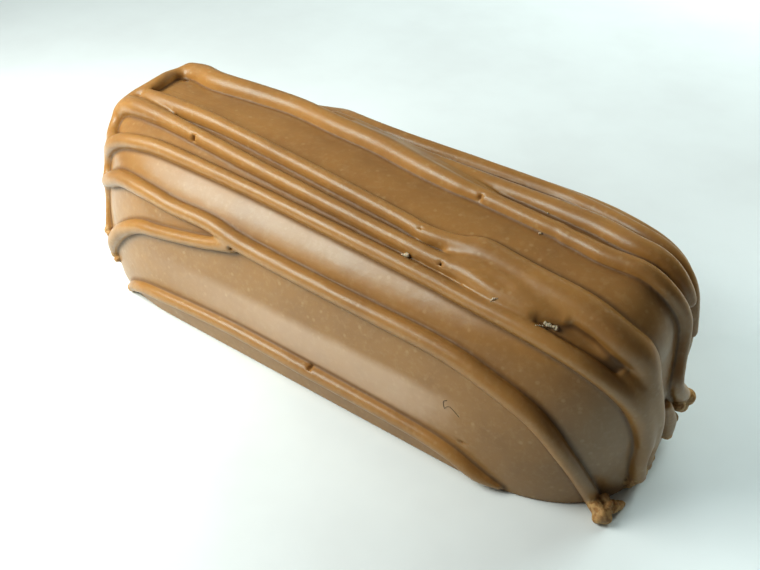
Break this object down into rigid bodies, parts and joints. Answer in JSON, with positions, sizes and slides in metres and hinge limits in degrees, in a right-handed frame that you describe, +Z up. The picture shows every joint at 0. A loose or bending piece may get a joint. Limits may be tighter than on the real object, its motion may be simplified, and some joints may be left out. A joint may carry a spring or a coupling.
{
  "type": "praline chocolate",
  "caption": "Oblong milk-chocolate praline with a flat base, a domed top, blunt rounded ends and drizzled strands that run lengthwise and wrap over the ends.",
  "frame": {"origin": "middle of the bar's flat base, on the surface it rests on", "axes": "+X along the bar, towards the end where a broken strand tip lies on the table; +Z up"},
  "size_m": [0.046, 0.0193, 0.014],
  "materials": {
    "milk_chocolate": "satin"
  },
  "bodies": {
    "root": {"praline": "milk_chocolate"}
  },
  "joints": []
}
